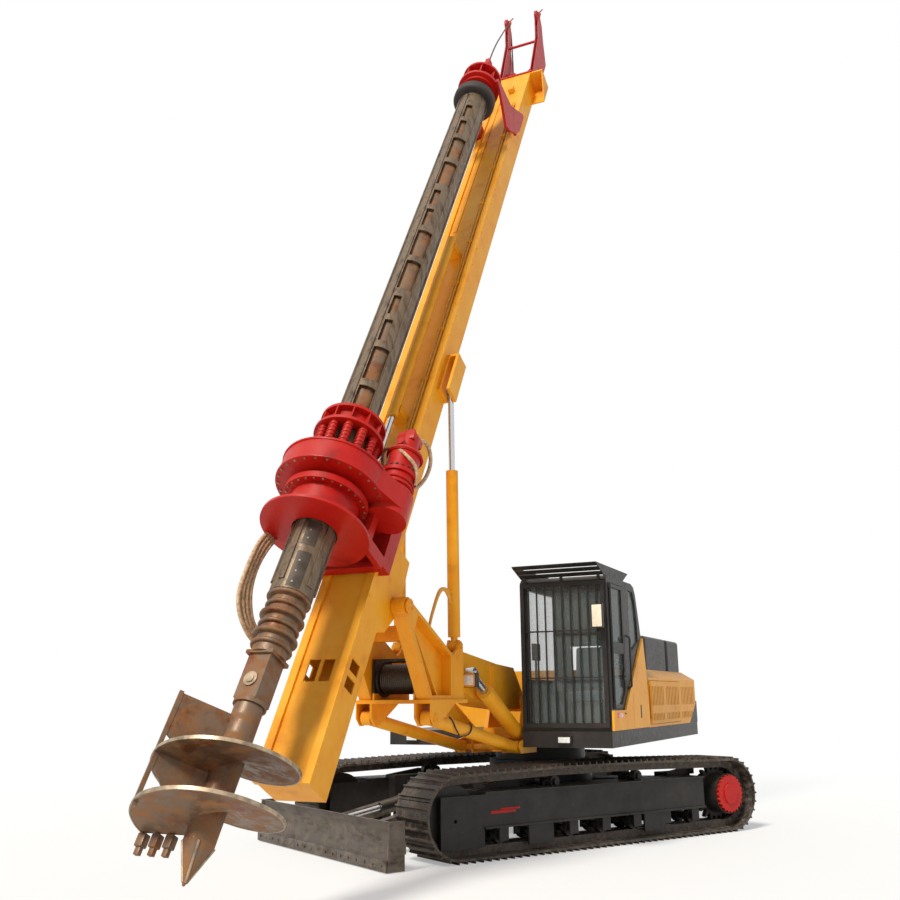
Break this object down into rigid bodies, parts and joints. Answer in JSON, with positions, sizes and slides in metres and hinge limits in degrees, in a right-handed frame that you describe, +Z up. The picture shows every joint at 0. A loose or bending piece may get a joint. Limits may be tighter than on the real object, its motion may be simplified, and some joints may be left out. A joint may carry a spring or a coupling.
{
  "type": "rotary piling rig",
  "caption": "Tracked drilling rig: slewing upper with cab, parallelogram boom, leaning mast, telescopic kelly bar and auger, and a dozer blade.",
  "frame": {"origin": "on the ground, on the slewing axis", "axes": "+Y forwards (towards the dozer blade), +X the machine's right, +Z up"},
  "size_m": [6.4709, 9.3302, 11.9145],
  "materials": {
    "black_paint": "satin",
    "yellow_paint": "gloss",
    "red_paint": "gloss",
    "track_steel": "worn",
    "worn_steel": "worn",
    "rusty_steel": "rusty",
    "chrome": "polished",
    "glass": "clear",
    "rubber": "matt",
    "blade_steel": "worn",
    "seat_fabric": "woven",
    "engine_iron": "cast"
  },
  "bodies": {
    "undercarriage": {"carbody": "black_paint", "track_frames": "black_paint", "track_left": "track_steel", "track_right": "track_steel", "sprockets": "black_paint", "drive_covers": "red_paint"},
    "blade": {"dozer_blade": "blade_steel"},
    "blade_cylinder": {"blade_cylinder_tube": "black_paint"},
    "blade_rod": {"blade_cylinder_rod": "chrome"},
    "superstructure": {"deck": "black_paint", "boom_bracket": "yellow_paint", "counterweight": "black_paint", "engine_block": "engine_iron", "engine_house": "yellow_paint", "hood_boxes": "black_paint", "cab_shell": "black_paint", "cab_glass": "glass", "cab_guard": "black_paint", "cab_fairing": "yellow_paint", "operator_seat": "seat_fabric"},
    "cab_door": {"cab_door": "black_paint", "cab_door_glass": "glass"},
    "side_door": {"side_door": "yellow_paint"},
    "boom": {"boom": "yellow_paint"},
    "boom_cylinders": {"boom_cylinder_tubes": "yellow_paint"},
    "boom_rods": {"boom_cylinder_rods": "chrome"},
    "links": {"lower_links": "yellow_paint"},
    "support_frame": {"support_frame": "yellow_paint"},
    "winch": {"winch_drum": "black_paint"},
    "mast_cylinders": {"mast_cylinder_tubes": "yellow_paint"},
    "mast_rods": {"mast_cylinder_rods": "chrome"},
    "mast": {"mast": "yellow_paint", "mast_head": "red_paint", "crowd_cylinder_tube": "yellow_paint"},
    "sheave_left": {"head_sheave_left": "red_paint"},
    "sheave_right": {"head_sheave_right": "red_paint"},
    "head": {"rotary_head": "red_paint", "head_motors": "red_paint", "crowd_cylinder_rod": "chrome"},
    "sleeve": {"drive_sleeve": "red_paint"},
    "kelly_guide": {"kelly_guide": "red_paint"},
    "kelly": {"kelly_outer": "worn_steel", "kelly_buffer": "rubber"},
    "kelly_inner": {"kelly_inner": "rusty_steel", "auger": "rusty_steel"}
  },
  "joints": [
    {"name": "blade_lift", "type": "hinge", "parent": "undercarriage", "child": "blade", "pos_m": [0, 1.15, 0.52], "axis": [1, 0, 0], "range_deg": [-8, 14]},
    {"name": "blade_cylinder_swing", "type": "hinge", "parent": "undercarriage", "child": "blade_cylinder", "pos_m": [0, 1.25, 0.62], "axis": [1, 0, 0], "range_deg": [-8.43, 14.73]},
    {"name": "blade_rod_slide", "type": "slide", "parent": "blade_cylinder", "child": "blade_rod", "axis": [0, 0.9858, -0.1682], "range_m": [-0.02735, 0.01584]},
    {"name": "slew", "type": "hinge", "parent": "undercarriage", "child": "superstructure", "pos_m": [0, 0, 0], "axis": [0, 0, 1], "continuous": true},
    {"name": "cab_door_hinge", "type": "hinge", "parent": "superstructure", "child": "cab_door", "pos_m": [-2.00642, 0.58745, 1.48], "axis": [0, 0, 1], "range_deg": [-100, 0]},
    {"name": "side_door_hinge", "type": "hinge", "parent": "superstructure", "child": "side_door", "pos_m": [-1.20689, -0.77532, 1.25], "axis": [0, 0, 1], "range_deg": [-110, 0]},
    {"name": "boom_lift", "type": "hinge", "parent": "superstructure", "child": "boom", "pos_m": [-0.50603, 0.86251, 1.55], "axis": [0.8625, 0.506, 0], "range_deg": [-6, 30]},
    {"name": "support_level", "type": "hinge", "parent": "boom", "child": "support_frame", "pos_m": [-1.59401, 2.71692, 1.9], "axis": [0.8625, 0.506, 0], "range_deg": [-30, 6]},
    {"name": "link_swing", "type": "hinge", "parent": "superstructure", "child": "links", "pos_m": [-0.85014, 1.44902, 1.085], "axis": [0.8625, 0.506, 0], "range_deg": [-6, 30]},
    {"name": "boom_cylinder_swing", "type": "hinge", "parent": "superstructure", "child": "boom_cylinders", "pos_m": [-0.66797, 1.13852, 1.13], "axis": [0.8625, 0.506, 0], "range_deg": [-5.99, 29.84]},
    {"name": "boom_rod_slide", "type": "slide", "parent": "boom_cylinders", "child": "boom_rods", "axis": [-0.4529, 0.772, 0.446], "range_m": [-0.05486, 0.27231]},
    {"name": "winch_spin", "type": "hinge", "parent": "support_frame", "child": "winch", "pos_m": [-1.89257, 3.2258, 1.79], "axis": [0.8625, 0.506, 0], "continuous": true},
    {"name": "mast_tilt", "type": "hinge", "parent": "support_frame", "child": "mast", "pos_m": [-2.19872, 3.74762, 2.417], "axis": [0.8625, 0.506, 0], "range_deg": [-33, 30]},
    {"name": "mast_cylinder_swing", "type": "hinge", "parent": "support_frame", "child": "mast_cylinders", "pos_m": [-1.6269, 2.77298, 2.11], "axis": [0.8625, 0.506, 0], "range_deg": [-28.86, 26.23]},
    {"name": "mast_rod_slide", "type": "slide", "parent": "mast_cylinders", "child": "mast_rods", "axis": [-0.0048, 0.0082, 1], "range_m": [-0.57553, 0.63303]},
    {"name": "sheave_left_spin", "type": "hinge", "parent": "mast", "child": "sheave_left", "pos_m": [-0.12543, -0.26444, 11.69379], "axis": [0.8625, 0.506, 0], "continuous": true},
    {"name": "sheave_right_spin", "type": "hinge", "parent": "mast", "child": "sheave_right", "pos_m": [0.29202, -0.01952, 11.69379], "axis": [0.8625, 0.506, 0], "continuous": true},
    {"name": "head_crowd", "type": "slide", "parent": "mast", "child": "head", "axis": [0.2523, -0.43, 0.8669], "range_m": [-1.1, 0.4]},
    {"name": "sleeve_spin", "type": "hinge", "parent": "head", "child": "sleeve", "pos_m": [-2.69442, 4.59253, 2.98029], "axis": [0.2523, -0.43, 0.8669], "continuous": true},
    {"name": "kelly_hoist", "type": "slide", "parent": "mast", "child": "kelly_guide", "axis": [0.2523, -0.43, 0.8669], "range_m": [-4.8, 0.02]},
    {"name": "kelly_spin", "type": "hinge", "parent": "kelly_guide", "child": "kelly", "pos_m": [-2.69442, 4.59253, 2.98029], "axis": [0.2523, -0.43, 0.8669], "continuous": true},
    {"name": "kelly_telescope", "type": "slide", "parent": "kelly", "child": "kelly_inner", "axis": [0.2523, -0.43, 0.8669], "range_m": [-6, 0]}
  ],
  "couplings": [
    {"joint": "blade_cylinder_swing", "follows": "blade_lift", "ratio": 1.0508},
    {"joint": "blade_rod_slide", "follows": "blade_lift", "m_per_rad": -0.10988},
    {"joint": "support_level", "follows": "boom_lift", "ratio": -1},
    {"joint": "link_swing", "follows": "boom_lift", "ratio": 1},
    {"joint": "boom_cylinder_swing", "follows": "boom_lift", "ratio": 0.99415},
    {"joint": "boom_rod_slide", "follows": "boom_lift", "m_per_rad": 0.51913},
    {"joint": "mast_cylinder_swing", "follows": "mast_tilt", "ratio": 0.87379},
    {"joint": "mast_rod_slide", "follows": "mast_tilt", "m_per_rad": -1.0982},
    {"joint": "sleeve_spin", "follows": "kelly_spin", "ratio": 1}
  ]
}
